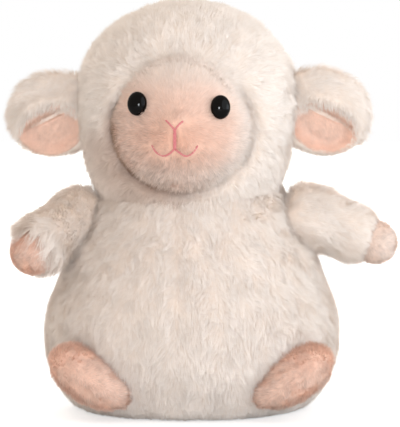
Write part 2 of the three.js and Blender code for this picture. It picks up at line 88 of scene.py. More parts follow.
# Head
HEAD_WIDTH, HEAD_DEPTH, HEAD_HEIGHT, HEAD_BELOW = 107, 93, 100.5, 53
HEAD_PLACE = np.array([-2.4, -4.0, 150.0])
HEAD_TURN = math.radians(-5.5)
HEAD_SHARES = [
    (0.74, 0.0), (0.826, 0.07), (0.903, 0.159), (0.959, 0.259), (0.989, 0.368), (1.0, 0.478), (0.994, 0.577),
    (0.963, 0.672), (0.9, 0.746), (0.81, 0.811), (0.69, 0.876), (0.54, 0.93), (0.37, 0.971), (0.187, 0.994),
    (0.0, 1.0),
]
FACE_HALF = np.array([38.0, 34.0, 40.0])
FACE_BACK, FACE_DROP = 20, 12
OPENING_HALF = np.array([29.7, 29.4])
OPENING_MIDDLE = (0.7, -11.1)
EYE_SPACING, EYE_SHIFT = 38.5, 1.1
EYE_LEVELS = {"left": -3.2, "right": -1.7}
EYE_SIZE = (9.2, 11.2)
EYE_DOME, EYE_SINK, EYE_STEM = 3.2, 1.0, 9.0
EYE_FOLLOW, EYE_LOOK = 0.35, np.array([0.06, -0.65, 0.02])  # an eye partly follows the dome and looks ahead
MUZZLE_RISE, LIP_RISE, CHEEK_RISE, NOSE_RISE = 3.4, 1.2, 1.2, 1.6
SOCKET_DEPTH, LIP_SEAM_DEPTH = 1.9, 0.9
# Round the face, a place is a share of the opening: 1 on its edge and more outside it.
FURROW_DEPTH, FURROW_AT, FURROW_HALF = 3.6, 1.11, 0.09
RIM_RISE, RIM_AT, RIM_HALF = 0.8, 1.2, 0.12
RECESS_DEPTH = 5.5
GUSSET_DEPTH, GUSSET_HALF, GUSSET_X = 0.6, 2.2, 20

# Ears
EAR_HALF = np.array([26.0, 10.5, 23.25])
EAR_INSET = np.array([3.6, 3.4, 3.0])
EAR_REACH, EAR_BACK, EAR_TILT, EAR_HANG = 63.8, 4, math.radians(12), math.radians(20)
EAR_DROPS = {"left": 6.6, "right": 8.2}
CUP_HALF = np.array([16.3, 9.5, 12.8])
CUP_OUT, CUP_DROP, CUP_DEPTH = 4.0, 5.4, 5.0
FOLD_DEPTHS = {"left": 3.4, "right": 4.6}
# The lining moves towards peach at the cup's edge, less on the sheep's right ear: painted light on the ear
# that the head shades.
LINING_BLUSH_AND_PAINTED_LIGHT = {"left": 0.85, "right": 0.25}

# Arms
SHOULDER = np.array([57.0, -6.0, 93.0])
SLEEVE_RADIUS, SLEEVE_LENGTH = 15.4, 29.5
HAND_RADIUS, HAND_REACH = 10.8, 33
ARM_DROOPS = {"left": 21, "right": 28}
ARM_FORWARDS = {"left": 6, "right": 52}
ARMPIT_FOLD, SLEEVE_TOPS = 2.6, {"left": 1.8, "right": -1.2}
# The hand on the lit side, the sheep's left, is paler and the other deeper: painted light and painted shade.
HAND_BLUSH_AND_PAINTED_LIGHT = {"left": 0.7, "right": 0.25}

# Feet
FOOT_HALF = np.array([22.5, 15.0, 12.5])
FOOT_PLACE = np.array([47.0, -46.0, 20.6])
FOOT_RISE, FOOT_YAW = math.radians(30), math.radians(22)
FOOT_TAPER = 0.22
SOLE_DEPTH = 7
FOOT_BLUSH = 0.3

# Colours, as sRGB. Each root colour is darker and warmer than its tip: painted shade deep in the pile.
CREAM_TIP, CREAM_ROOT = (0.985, 0.955, 0.93), (0.955, 0.895, 0.84)
PEACH_TIP, PEACH_ROOT = (0.96, 0.815, 0.74), (0.91, 0.72, 0.62)
PAINTED_SHADE_TIP, PAINTED_SHADE_ROOT = (0.80, 0.68, 0.60), (0.64, 0.49, 0.40)  # painted shade, darker and browner, in the furrow round the face and on the hood below it on the sheep's right
LINING_TIP, LINING_ROOT = (0.99, 0.88, 0.82), (0.965, 0.82, 0.74)
EYE_COLOUR = (0.010, 0.008, 0.008)
THREAD_COLOUR, SEAM_COLOUR = (0.80, 0.48, 0.49), (0.86, 0.80, 0.74)

# Thread
THREAD_RADIUS, THREAD_STITCH = 0.46, 1.5
SEAM_RADIUS, SEAM_STITCH = 0.45, 3.0

# Floor, lamps and camera, in metres and watts
FLOOR_HALF, FLOOR_GREY = 3.0, 0.78
WORLD_TINT, WORLD_LEVEL = (1, 0.91, 0.815, 1), 0.78
LAMP_TARGET = (0, 0, 0.1)
LAMPS = {  # place, size, power, colour
    "front": ((-0.02, -1.35, 0.2), 0.26, 6.5, (0.96, 1.0, 1.06)),
    "back": ((-0.4, 1.6, 0.9), 2.2, 22.0, (1, 1, 1)),
    "key": ((1.3, -0.9, 0.5), 2.1, 15.4, (0.81, 0.93, 1.05)),
    "low": ((1.3, -0.35, 0.15), 0.8, 4.5, (0.84, 0.94, 1.03)),
}
CAMERA_AIM, CAMERA_DISTANCE, CAMERA_ELEVATION = (0.00386, 0, 0.094), 1.25, math.radians(4)
VIEW_HEIGHT, SENSOR = 0.2058, 36


# Small sums

def linear(colour):
    """An sRGB colour as linear light."""
    return [c / 12.92 if c <= 0.04045 else ((c + 0.055) / 1.055) ** 2.4 for c in colour]


def unit(v):
    return v / np.maximum(np.linalg.norm(v, axis=-1, keepdims=True), 1e-9)


def smooth(low, high, x):
    t = np.clip((x - low) / (high - low), 0, 1)
    return t * t * (3 - 2 * t)


def bell(x, middle, half):
    """1 in the middle, falling away to both sides."""
    return np.exp(-((x - middle) / half) ** 2)


def hill(x, z, middle, half):
    """1 in the middle of an oval, falling away all round."""
    return np.exp(-((x - middle[0]) / half[0]) ** 2 - ((z - middle[1]) / half[1]) ** 2)


def round_angles(count):
    return np.linspace(0, 2 * math.pi, count, endpoint=False)


LATTICE = np.random.default_rng(LATTICE_SEED).random((LATTICE_SIZE, LATTICE_SIZE, LATTICE_SIZE, 3)) * 2 - 1


def noise(points, size, shift=0.0):
    """Smooth noise of three channels from -1 to 1, for points of shape (n, 3)."""
    q = points / size + shift
    low = np.floor(q).astype(int)
    f = q - low
    f = f * f * (3 - 2 * f)
    total = np.zeros_like(points)
    for corner in np.ndindex(2, 2, 2):
        c = np.array(corner)
        weight = np.prod(np.where(c, f, 1 - f), axis=-1, keepdims=True)
        at = (low + c) % LATTICE_SIZE
        total += weight * LATTICE[at[..., 0], at[..., 1], at[..., 2]]
    return total


def spline(points, count):
    """Points of a smooth curve through the given ones, with the directions along it."""
    p = np.array(points, float)
    t = np.linspace(0, len(p) - 1, count)
    i = np.minimum(t.astype(int), len(p) - 2)
    w = (t - i)[:, None]
    p0, p1 = p[np.maximum(i - 1, 0)], p[i]
    p2, p3 = p[i + 1], p[np.minimum(i + 2, len(p) - 1)]
    v0, v1 = (p2 - p0) / 2, (p3 - p1) / 2
    at = (2 * p1 - 2 * p2 + v0 + v1) * w**3 + (3 * p2 - 3 * p1 - 2 * v0 - v1) * w**2 + v0 * w + p1
    along = 3 * (2 * p1 - 2 * p2 + v0 + v1) * w**2 + 2 * (3 * p2 - 3 * p1 - 2 * v0 - v1) * w + v0
    return at, unit(along)


# Frames

class Frame:
    """A place and three directions in the part's frame."""

    def __init__(self, place, axes):
        self.place, self.axes = np.array(place, float), np.array(axes, float)

    def out(self, local):
        return local @ self.axes + self.place

    def turn(self, local):
        return local @ self.axes

    def into(self, points):
        return (points - self.place) @ self.axes.T

    def xyz(self, points):
        return self.into(points).T

    def within(self, inner):
        return Frame(self.out(inner.place), inner.axes @ self.axes)


def turned(axis, angle):
    """The three directions, turned about the one that axis numbers."""
    i, j = (axis + 1) % 3, (axis + 2) % 3
    axes = np.eye(3)
    axes[i, i] = axes[j, j] = math.cos(angle)
    axes[i, j], axes[j, i] = math.sin(angle), -math.sin(angle)
    return axes


AHEAD, BACK, DOWN = np.array([0, -1.0, 0]), np.array([0, 1.0, 0]), np.array([0, 0, -1.0])
BODY = Frame((0, 0, 0), np.eye(3))
HEAD = Frame(HEAD_PLACE, turned(2, HEAD_TURN))
EARS = {s: HEAD.within(Frame((k * EAR_REACH, EAR_BACK, -EAR_DROPS[s]),
                             turned(1, k * EAR_HANG) @ turned(0, EAR_TILT))) for s, k in SIDES.items()}


def arm_frame(side, sign):
    droop, forward = math.radians(ARM_DROOPS[side]), math.radians(ARM_FORWARDS[side])
    along = np.array([sign * math.cos(droop) * math.cos(forward), -math.cos(droop) * math.sin(forward),
                      -math.sin(droop)])
    hinge = unit(np.cross(along, (0, 0, 1)))
    return Frame(SHOULDER * (sign, 1, 1), (hinge, np.cross(along, hinge), along))


def foot_frame(sign):
    along = sign * np.array([sign * math.cos(FOOT_RISE) * math.cos(FOOT_YAW),
                             math.cos(FOOT_RISE) * math.sin(FOOT_YAW), math.sin(FOOT_RISE)])
    back = unit(np.array([0, 1, 0]) - along * along[1])
    return Frame(FOOT_PLACE * (sign, 1, 1), (along, back, np.cross(along, back)))


ARMS = {s: arm_frame(s, k) for s, k in SIDES.items()}
FEET = {s: foot_frame(k) for s, k in SIDES.items()}


def face_out(x, z):
    """How far the face panel's pile stands forward of the head's middle."""
    share = 1 - (x / FACE_HALF[0]) ** 2 - ((z + FACE_DROP) / FACE_HALF[2]) ** 2
    dome = FACE_BACK + FACE_HALF[1] * np.sqrt(np.maximum(share, 0.02))
    muzzle = (MUZZLE_RISE * hill(x, z, (-0.5, -23), (15, 11)) + LIP_RISE * hill(x, z, (-9, -21), (7, 6))
              + LIP_RISE * hill(x, z, (8, -21), (7, 6)))
    cheeks = CHEEK_RISE * hill(x, z, (-22, -24), (9, 10)) + CHEEK_RISE * hill(x, z, (22, -24), (9, 10))
    nose = NOSE_RISE * hill(x, z, (-0.2, -11), (5, 4))
    sockets = sum(hill(x, z, (k * EYE_SPACING / 2 + EYE_SHIFT, EYE_LEVELS[s]), (7.5, 8.5))
                  for s, k in SIDES.items())
    lines = LIP_SEAM_DEPTH * hill(x, z, (0, -18.5), (1.6, 6))
    return dome + muzzle + cheeks + nose - SOCKET_DEPTH * sockets - lines


def eye_frame(side, sign):
    x, z = sign * EYE_SPACING / 2 + EYE_SHIFT, EYE_LEVELS[side]
    a, b, c = FACE_HALF
    rise = z + FACE_DROP
    out = b * math.sqrt(1 - (x / a) ** 2 - (rise / c) ** 2)
    normal = unit(unit(np.array([x / a**2, -out / b**2, rise / c**2])) * EYE_FOLLOW + EYE_LOOK)
    across = unit(np.cross((0, 0, 1), -normal))
    return HEAD.within(Frame((x, -FACE_BACK - out, z), (-across, np.cross(normal, -across), normal)))


EYES = {s: eye_frame(s, k) for s, k in SIDES.items()}


# Skins: closed grids of points, with normals

class Skin:
    def __init__(self, grid):
        rows, cols, _ = grid.shape
        flat = grid.reshape(-1, 3)
        self.verts = np.vstack([flat, grid[0].mean(0), grid[-1].mean(0)])
        r, c = np.meshgrid(np.arange(rows - 1), np.arange(cols), indexing="ij")
        a, b = r * cols + c, r * cols + (c + 1) % cols
        a, b = a.ravel(), b.ravel()
        i = np.arange(cols)
        j = (i + 1) % cols
        end = (rows - 1) * cols
        self.tris = np.vstack([
            np.stack([a, b, b + cols], 1), np.stack([a, b + cols, a + cols], 1),
            np.stack([np.full(cols, rows * cols), j, i], 1),
            np.stack([np.full(cols, rows * cols + 1), end + i, end + j], 1),
        ])
        corner = self.verts[self.tris]
        if np.einsum("ij,ij->", corner[:, 0], np.cross(corner[:, 1], corner[:, 2])) < 0:
            self.tris = self.tris[:, ::-1].copy()
        v, u = np.meshgrid(np.linspace(0, 1, rows), np.linspace(0, 1, cols), indexing="ij")
        self.uv = np.vstack([np.stack([u, v], -1).reshape(-1, 2), [[0.5, 0]], [[0.5, 1]]])
        self.settle()

    def settle(self):
        corner = self.verts[self.tris]
        face = np.cross(corner[:, 1] - corner[:, 0], corner[:, 2] - corner[:, 0])
        self.normals = np.zeros_like(self.verts)
        for k in range(3):
            np.add.at(self.normals, self.tris[:, k], face)
        self.normals = unit(self.normals)
        self.areas = np.linalg.norm(face, axis=1) / 2
        return self

    def scatter(self, per_mm2, keep=None):
        """Random points on the skin, with their normals."""
        count = int(self.areas.sum() * per_mm2 * DENSITY)
        pick = rng.choice(len(self.tris), count, p=self.areas / self.areas.sum())
        u, v = rng.random((2, count))
        over = u + v > 1
        u[over], v[over] = 1 - u[over], 1 - v[over]
        w = np.stack([1 - u - v, u, v], 1)[:, :, None]
        points = (self.verts[self.tris[pick]] * w).sum(1)
        normals = unit((self.normals[self.tris[pick]] * w).sum(1))
        if keep is not None:
            chosen = keep(points)
            points, normals = points[chosen], normals[chosen]
        return points, normals


def placed(skin, frame_):
    """The skin in the part's frame, to scatter on."""
    world = copy.copy(skin)
    world.verts, world.normals = frame_.out(skin.verts), frame_.turn(skin.normals)
    return world


def facing(points, normals, frame_, least):
    """The points whose normals look forward in a frame."""
    ahead = normals @ frame_.turn(AHEAD) > least
    return points[ahead], normals[ahead]


def turned_grid(outline, columns, ratio=1.0):
    """A grid turned about +Z from (radius, height) points, squeezed front to back."""
    angle = round_angles(columns)
    r, z = outline[:, :1], outline[:, 1:]
    level = np.broadcast_to(z, (len(outline), columns))
    return np.stack([r * np.cos(angle), r * np.sin(angle) * ratio, level], -1)


def egg_grid(half, rows, columns, axis=2):
    """A grid round an ellipsoid, with its poles on the given axis."""
    polar = np.linspace(POLE_GAP, math.pi - POLE_GAP, rows)
    outline = np.stack([np.sin(polar), -np.cos(polar)], 1)
    grid = turned_grid(outline, columns)
    return np.roll(grid, axis - 2, axis=-1) * half


def soften(skin, frame_, amount, size):
    """Lets a skin swell and sink a little, broadly and at under half the size."""
    world = frame_.out(skin.verts)
    bulge = amount * noise(world, size)[:, 0] + amount * 0.35 * noise(world, size * 0.4, 3.3)[:, 1]
    skin.verts = skin.verts + skin.normals * bulge[:, None]
    return skin.settle()


# Pile: each tuft of fibres is one thin closed strand

STRANDS = {  # by bands: the faces, those of them that face the skin, and how far along each corner lies
    1: ([(0, 1, 3), (1, 2, 3), (2, 0, 3), (0, 2, 1)], [0, 2], [0, 0, 0, 1.0]),
    2: ([(0, 1, 4), (0, 4, 3), (1, 2, 5), (1, 5, 4), (2, 0, 3), (2, 3, 5), (3, 4, 6), (4, 5, 6), (5, 3, 6),
         (0, 2, 1)], [0, 1, 4, 5, 6, 8], [0, 0, 0, 0.5, 0.5, 0.5, 1.0]),
}


def lay_of(comb, points, normals, curl):
    """The way that the fibres lie on the skin: combed, and swirled to the side."""
    lay = comb(points)
    way = unit(lay)
    swirl = sum(noise(points, size, shift) * curl * strength for size, shift, strength in SWIRLS)
    lay = lay + swirl - way * np.einsum("ij,ij->i", swirl, way)[:, None]
    return unit(lay - normals * np.einsum("ij,ij->i", lay, normals)[:, None])


def clumped(points, middle, tip, size, clump, area):
    """The middles and tips of the fibres, drawn to one leader in each area of skin."""
    n = len(points)
    count = max(1, int(n / max(2.0, area)))
    leaders = rng.choice(n, count, replace=False)
    tree = kdtree.KDTree(count)
    for i, k in enumerate(leaders):
        tree.insert(points[k], i)
    tree.balance()
    owner = leaders[[tree.find(q)[1] for q in points]]
    pull = clump * (0.55 + 0.45 * rng.random((n, 1)))
    shift = tip[owner] + (points - points[owner]) * 0.25 - tip
    reach = np.linalg.norm(shift, axis=1, keepdims=True)
    shift = shift * np.minimum(1, 0.6 * size / np.maximum(reach, 1e-6))
    return middle + shift * pull * 0.3, tip + shift * pull


def tufts(points, normals, comb, length, lean, width, density, clump, clump_size, curl, grain,
          grain_size, tone_size, bands=1, ragged=0.2, mottle=0.3, floor=None):
    """Strands in the part's frame. comb gives the way that they lie, and lean how far over, from 0 to 1."""
    n = len(points)
    if n == 0:
        return None
    lay = lay_of(comb, points, normals, curl)
    size = (np.broadcast_to(length, (n,)) * (1 + ragged * (rng.random(n) * 2 - 1)))[:, None]
    tilt = np.broadcast_to(lean, (n,))[:, None] * (1 + 0.10 * noise(points, 7.0, 4.2)[:, :1])
    start = unit(normals * (1 - 0.55 * tilt) + lay * tilt * 0.75 + rng.normal(0, 0.08, (n, 3)))
    end = unit(normals * (1 - tilt) + lay * tilt * 1.3 + rng.normal(0, 0.13, (n, 3)))
    middle = points + start * size * KINK
    tip = middle + end * size * (1 - KINK)
    if n > FEWEST_CLUMPED:
        middle, tip = clumped(points, middle, tip, size, clump, clump_size**2 * density * DENSITY)
    if floor is not None:
        middle[:, 2] = np.maximum(middle[:, 2], floor)
        tip[:, 2] = np.maximum(tip[:, 2], floor)
    root = points - normals * ROOT_DEPTH
    axis = unit(tip - root)
    across = unit(np.cross(axis, normals + 0.01))
    other = np.cross(axis, across)
    angle = np.array([0, 2, 4]) * math.pi / 3 + math.pi / 2
    # A fibre is flatter than it is wide, with its flat side outwards.
    ring = across[:, None] * np.cos(angle)[:, None] + FLATNESS * other[:, None] * np.sin(angle)[:, None]
    wide = (np.broadcast_to(width, (n,)) * (0.8 + 0.4 * rng.random(n)))[:, None, None] / 2
    stations = [root[:, None] + ring * wide, middle[:, None] + ring * wide * 0.85][:bands]
    verts = np.concatenate([*stations, tip[:, None]], 1)
    rings = np.concatenate([ring] * bands + [np.zeros((n, 1, 3))], 1)
    faces, inner, along = (np.array(values) for values in STRANDS[bands])
    shade = normals + grain * noise(points, grain_size, 2.2) + 0.04 * rng.normal(0, 1, (n, 3))
    # The outer side of a fibre is lit as the plush is, and its inner side as it faces.
    corners = unit(shade[:, None] + 0.12 * rings).astype(np.float32)[:, faces]
    a, b, c = (verts[:, faces[inner, k]] for k in range(3))
    corners[:, inner] = unit(np.cross(b - a, c - a))[:, :, None]
    return {
        "roots": points, "verts": verts, "normals": corners, "along": along,
        "tone": np.clip(0.5 + 0.28 * noise(points, tone_size, 6.6)[:, 0] + rng.normal(0, mottle, n), 0, 1),
        "faces": faces,
    }


def pick(strands, chosen):
    """The chosen strands alone."""
    return {key: value if key in ("along", "faces") else value[chosen] for key, value in strands.items()}


def flattened(strands, bottom, tall):
    """Strands as one mesh part, each with its own small cell of the UV map between two heights of it."""
    n, per = strands["verts"].shape[:2]
    along = strands["along"]
    side = max(1, int(math.ceil(math.sqrt(n))))
    cell = np.stack([np.arange(n) % side, np.arange(n) // side], 1)
    offset = np.stack([np.array([0.2, 0.5, 0.8] * (per // 3) + [0.5]), 0.12 + 0.76 * along], 1)
    offset[1, 1] -= 0.08
    uv = (cell[:, None] + offset[None]) / side
    return {
        "verts": strands["verts"].reshape(-1, 3),
        "tris": (strands["faces"][None] + per * np.arange(n)[:, None, None]).reshape(-1, 3),
        "normals": strands["normals"].reshape(-1, 3),
        "along": np.tile(along, n),
        "tone": np.repeat(strands["tone"], per),
        "uv": uv.reshape(-1, 2) * (1, tall) + (0, bottom),
        "roots": np.repeat(strands["roots"], per, axis=0),
    }


# Objects and materials

def add_object(name, data):
    obj = bpy.data.objects.new(name, data)
    bpy.context.scene.collection.objects.link(obj)
    return obj


def add_value(mesh, key, values):
    """One number at each point, for the material."""
    mesh.attributes.new(key, "FLOAT", "POINT").data.foreach_set("value", values.astype(np.float32))


def make_object(name, material, skin=None, frame_=BODY, strands=(), blush_and_painted_light=None):
    """One mesh from a skin and its strands. The last argument gives a share from 0 to 1 for points on the
    skin, towards a blush colour, and in places towards painted shade or painted light.
    """
    parts = []
    strands = [s for s in strands if s is not None]
    if skin is not None:
        world = frame_.out(skin.verts)
        top = 0.25 if strands else 1.0
        # The skin takes a colour near the fibres' darker roots, painted shade under the pile.
        parts.append({
            "verts": world, "tris": skin.tris, "normals": unit(frame_.turn(skin.normals))[skin.tris.ravel()],
            "along": np.full(len(world), 0.35), "tone": np.clip(0.5 + 0.3 * noise(world, 4.0)[:, 0], 0, 1),
            "uv": (skin.uv * 0.98 + 0.01) * (1, top), "roots": world,
        })
    bottom = 0.26 if skin is not None else 0.0
    step = (1 - bottom) / max(1, len(strands))
    parts += [flattened(s, bottom + k * step, step) for k, s in enumerate(strands)]
    verts = np.vstack([p["verts"] for p in parts])
    starts = np.cumsum([0] + [len(p["verts"]) for p in parts])
    tris = np.vstack([p["tris"] + s for p, s in zip(parts, starts)])
    mesh = bpy.data.meshes.new(name)
    mesh.vertices.add(len(verts))
    mesh.vertices.foreach_set("co", (verts * MM).astype(np.float32).ravel())
    mesh.loops.add(len(tris) * 3)
    mesh.loops.foreach_set("vertex_index", tris.astype(np.int32).ravel())
    mesh.polygons.add(len(tris))
    mesh.polygons.foreach_set("loop_start", np.arange(0, len(tris) * 3, 3, dtype=np.int32))
    mesh.polygons.foreach_set("use_smooth", np.ones(len(tris), bool))
    mesh.update(calc_edges=True)
    for key in ("along", "tone"):
        add_value(mesh, key, np.concatenate([p[key] for p in parts]))
    roots = np.vstack([p["roots"] for p in parts])
    add_value(mesh, "blush_and_painted_light", np.zeros(len(verts)) if blush_and_painted_light is None else blush_and_painted_light(roots))
    uv = np.vstack([p["uv"] for p in parts])[tris.ravel()]
    mesh.uv_layers.new(name="OFBake").data.foreach_set("uv", uv.astype(np.float32).ravel())
    mesh.normals_split_custom_set(np.vstack([p["normals"] for p in parts]).astype(np.float32))
    mesh.materials.append(material)
    return add_object(name, mesh)


def new_material(name):
    """A node material, with its tree and its shader."""
    material = bpy.data.materials.new(name)
    material.use_nodes = True
    return material, material.node_tree, material.node_tree.nodes["Principled BSDF"]


def speckle(tree, scale, detail):
    """Fine noise in the object's own space."""
    place, speck = tree.nodes.new("ShaderNodeTexCoord"), tree.nodes.new("ShaderNodeTexNoise")
    speck.inputs["Scale"].default_value, speck.inputs["Detail"].default_value = scale, detail
    tree.links.new(place.outputs["Object"], speck.inputs["Vector"])
    return speck.outputs["Fac"]


def ranged(tree, value, to, start=(0, 1)):
    """A value taken from one range to another."""
    node = tree.nodes.new("ShaderNodeMapRange")
    for key, number in zip(("From Min", "From Max", "To Min", "To Max"), (*start, *to)):
        node.inputs[key].default_value = number
    tree.links.new(value, node.inputs["Value"])
    return node.outputs["Result"]


def pile_material(name, root, tip, root_blush_and_painted_shade, tip_blush_and_painted_shade, tone_depth):
    """Fibre colour that runs from a darker, warmer root to the tip, varies from tuft to tuft, and moves
    towards a second colour: a blush, or on the cream pile a painted shade. The darker roots are painted shade
    deep in the pile.
    """
    material, tree, shader = new_material(name)
    nodes, links = tree.nodes, tree.links

    def attribute(key):
        node = nodes.new("ShaderNodeAttribute")
        node.attribute_name = key
        return node.outputs["Fac"]

    def mix(factor, a, b, kind="MIX"):
        node = nodes.new("ShaderNodeMix")
        node.data_type, node.blend_type = "RGBA", kind
        for socket, value in zip((node.inputs[0], node.inputs[6], node.inputs[7]), (factor, a, b)):
            if hasattr(value, "is_linked"):
                links.new(value, socket)
            elif isinstance(value, tuple):
                socket.default_value = (*linear(value), 1)
            else:
                socket.default_value = value
        return node.outputs[2]

    along, tone, blush_and_painted_light = attribute("along"), attribute("tone"), attribute("blush_and_painted_light")
    colour = mix(blush_and_painted_light, mix(along, root, tip), mix(along, root_blush_and_painted_shade, tip_blush_and_painted_shade))
    both = nodes.new("ShaderNodeMath")
    both.operation = "MULTIPLY"
    links.new(ranged(tree, tone, (1 - tone_depth, 1 + 0.2 * tone_depth)), both.inputs[0])
    links.new(ranged(tree, speckle(tree, 420, 2), (0.97, 1.03), (0.3, 0.7)), both.inputs[1])
    grey = nodes.new("ShaderNodeCombineColor")
    for k in range(3):
        links.new(both.outputs[0], grey.inputs[k])
    links.new(mix(1.0, colour, grey.outputs[0], "MULTIPLY"), shader.inputs["Base Color"])
    shader.inputs["Roughness"].default_value = 0.95
    shader.inputs["Specular IOR Level"].default_value = 0.0
    return material


# The cream pile's second colour is a painted shade, used on the hood beside the face.
CREAM = pile_material("cream_pile", CREAM_ROOT, CREAM_TIP, PAINTED_SHADE_ROOT, PAINTED_SHADE_TIP, 0.12)
PEACH = pile_material("peach_nap", PEACH_ROOT, PEACH_TIP, CREAM_ROOT, CREAM_TIP, 0.26)
LINING = pile_material("lining_nap", LINING_ROOT, LINING_TIP, PEACH_ROOT, PEACH_TIP, 0.18)


def plain_material(name, colour, roughness, specular, mottle, scale=300, bump=0.0):
    """A plain colour with a fine mottle, and a bump where the surface has a grain."""
    material, tree, shader = new_material(name)
    nodes, links = tree.nodes, tree.links
    grain = speckle(tree, scale, 3)
    ramp = nodes.new("ShaderNodeValToRGB")
    for element, place, factor in zip(ramp.color_ramp.elements, (0.3, 0.7), (1 - mottle, 1 + mottle)):
        element.position, element.color = place, (*[min(1, c * factor) for c in linear(colour)], 1)
    links.new(grain, ramp.inputs["Fac"])
    links.new(ramp.outputs["Color"], shader.inputs["Base Color"])
    if bump:
        bumps = nodes.new("ShaderNodeBump")
        bumps.inputs["Strength"].default_value = bump
        bumps.inputs["Distance"].default_value = 0.0004
        links.new(grain, bumps.inputs["Height"])
        links.new(bumps.outputs["Normal"], shader.inputs["Normal"])
    shader.inputs["Roughness"].default_value = roughness
    shader.inputs["Specular IOR Level"].default_value = specular
    return material


EYE_MATERIAL = plain_material("eye_gloss", EYE_COLOUR, 0.05, 0.14, 0.2)
THREAD_MATERIAL = plain_material("pink_thread", THREAD_COLOUR, 0.55, 0.35, 0.06, 2600, 0.5)
SEAM_MATERIAL = plain_material("cream_thread", SEAM_COLOUR, 0.8, 0.3, 0.06, 2600, 0.5)


# Body

def profile(shares, count, width, height, drop):
    """A turned outline in millimetres, with the way inwards at each point."""
    at, along = spline(shares, count)
    scale = np.array([width / 2, height])
    at, along = at * scale - (0, drop), unit(along * scale)
    return at, np.stack([-along[:, 1], along[:, 0]], 1)


def body_outline():
    """The outline of the body's backing."""
    at, inward = profile(BODY_SHARES, 90, BODY_WIDTH, BODY_TOP + SEAT_CUT, SEAT_CUT)
    depth = 0.5 + (LONG_INSET - 0.5) * smooth(0, 16, at[:, 1])
    at = at + inward * depth[:, None]
    at[:, 1] = np.maximum(at[:, 1], LOWEST)
    return at


def inside_body(points, grow):
    at = body_outline()
    reach = np.hypot(points[:, 0], points[:, 1] * BODY_WIDTH / BODY_DEPTH)
    return reach < np.interp(points[:, 2], at[:, 1], at[:, 0]) + grow


def inside_head(points, grow):
    """True for points inside the head form."""
    x, y, z = HEAD.xyz(points)
    level = (z + HEAD_BELOW) / HEAD_HEIGHT
    at, _ = spline(HEAD_SHARES, 200)
    radius = np.interp(level, at[:, 1], at[:, 0], left=0.74, right=0) * HEAD_WIDTH / 2 + grow
    reach = np.hypot(x, y * HEAD_WIDTH / HEAD_DEPTH)
    return (reach < radius) & (level > 0.04)


def inside_sleeve(points, side, grow):
    x, y, z = ARMS[side].xyz(points)
    return (np.hypot(x, y) < SLEEVE_RADIUS + grow) & (z > 0) & (z < SLEEVE_LENGTH)


def inside_foot(points, side, grow):
    p = FEET[side].into(points)
    full = 1 + FOOT_TAPER * SIDES[side] * p[:, 0] / (2 * FOOT_HALF[0])
    return ((p / FOOT_HALF / np.stack([np.ones(len(p)), full, full], 1)) ** 2).sum(1) < (1 + grow / 14) ** 2


def body_comb(p):
    """The pile hangs down and a little out, and parts along the front seam."""
    x, y, z = p.T
    beside = x - FRONT_SEAM
    part = SEAM_PARTING * np.tanh(beside / 1.5) * bell(beside, 0, 4.5) * (y < 0) * smooth(20, 45, z)
    return DOWN + 0.15 * (p * (1, 1, 0) / 72) + part[:, None] * (1, 0, 0)


def pile(world, keep, comb, length, lean, more=1.0, floor=None):
    """Long curved fibres over many fine ones, and a short thick layer under them that hides the backing."""
    layers = []
    for density, width, share, bands, clump in PILE_LAYERS:
        points, normals = world.scatter(density * more, keep)
        tilt = lean(points) if callable(lean) else lean
        layers.append(tufts(points, normals, comb, length(points) * share, tilt * (1 if share > 0.8 else 0.8),
                            width, density * more, clump, PILE_CLUMP, PILE_CURL, PILE_GRAIN,
                            grain_size=3.0, tone_size=6.0, bands=bands, mottle=PILE_MOTTLE, floor=floor))
    return layers


def make_piles(name, layers, parent, middle=(0, 0), blush_and_painted_light=None):
    """Pieces of cream pile that go with the skin under them, each one a sector about an upright line."""
    total = sum(len(s["verts"]) * len(s["faces"]) for s in layers)
    count = math.ceil(total / PIECE_FACES)
    angles = [np.arctan2(s["roots"][:, 1] - middle[1], s["roots"][:, 0] - middle[0]) for s in layers]
    edges = np.quantile(angles[0], np.linspace(0, 1, count + 1))
    edges[0], edges[-1] = -math.pi, math.pi + 1e-6
    for k in range(count):
        parts = [pick(s, (a >= edges[k]) & (a < edges[k + 1])) for s, a in zip(layers, angles)]
        obj = make_object(f"{name}_{k + 1}", CREAM, strands=parts, blush_and_painted_light=blush_and_painted_light)
        obj.parent = parent


def build_body():
    skin = soften(Skin(turned_grid(body_outline(), 132, BODY_DEPTH / BODY_WIDTH)), BODY, 1.1, 30.0)
    x, y, z = skin.verts.T
    groove = SEAM_DEPTH * bell(x, FRONT_SEAM, SEAM_HALF) * (y < 0) * smooth(20, 45, z)
    skin.verts = skin.verts - skin.normals * groove[:, None]
    skin.verts[:, 2] = np.maximum(skin.verts[:, 2], LOWEST)
    skin.settle()

    def keep(p):
        hidden = inside_head(p, -4) | (p[:, 2] < 1.0)
        for side in SIDES:
            hidden |= inside_sleeve(p, side, -4) | inside_foot(p, side, -3)
        return ~hidden

    def long(points):
        return LONG_PILE * (0.45 + 0.55 * smooth(0, 20, points[:, 2]))

    cover = make_object("body_plush", CREAM, skin)
    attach(cover, "body")
    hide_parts("body_cover", "body_filling", "bean_pouch")
    make_piles("body_pile", pile(skin, keep, body_comb, long, 0.7, floor=0.25), cover)


def build_base():
    """The flat panel under the seat, and the seam round it."""
    skin = Skin(turned_grid(np.array(BASE_OUTLINE), 96, BODY_DEPTH / BODY_WIDTH))
    panel = make_object("base_plush", CREAM, skin)
    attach(panel, "body")
    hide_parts("base_panel")
    angle = round_angles(120)
    radius = BASE_RADIUS + 0.2
    line = np.stack([radius * np.cos(angle), radius * np.sin(angle) * BODY_DEPTH / BODY_WIDTH,
                     np.full(len(angle), 0.55)], 1)
    seam = thread("base_seam", line, SEAM_RADIUS, SEAM_MATERIAL, SEAM_STITCH, closed=True)
    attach(seam, "body")


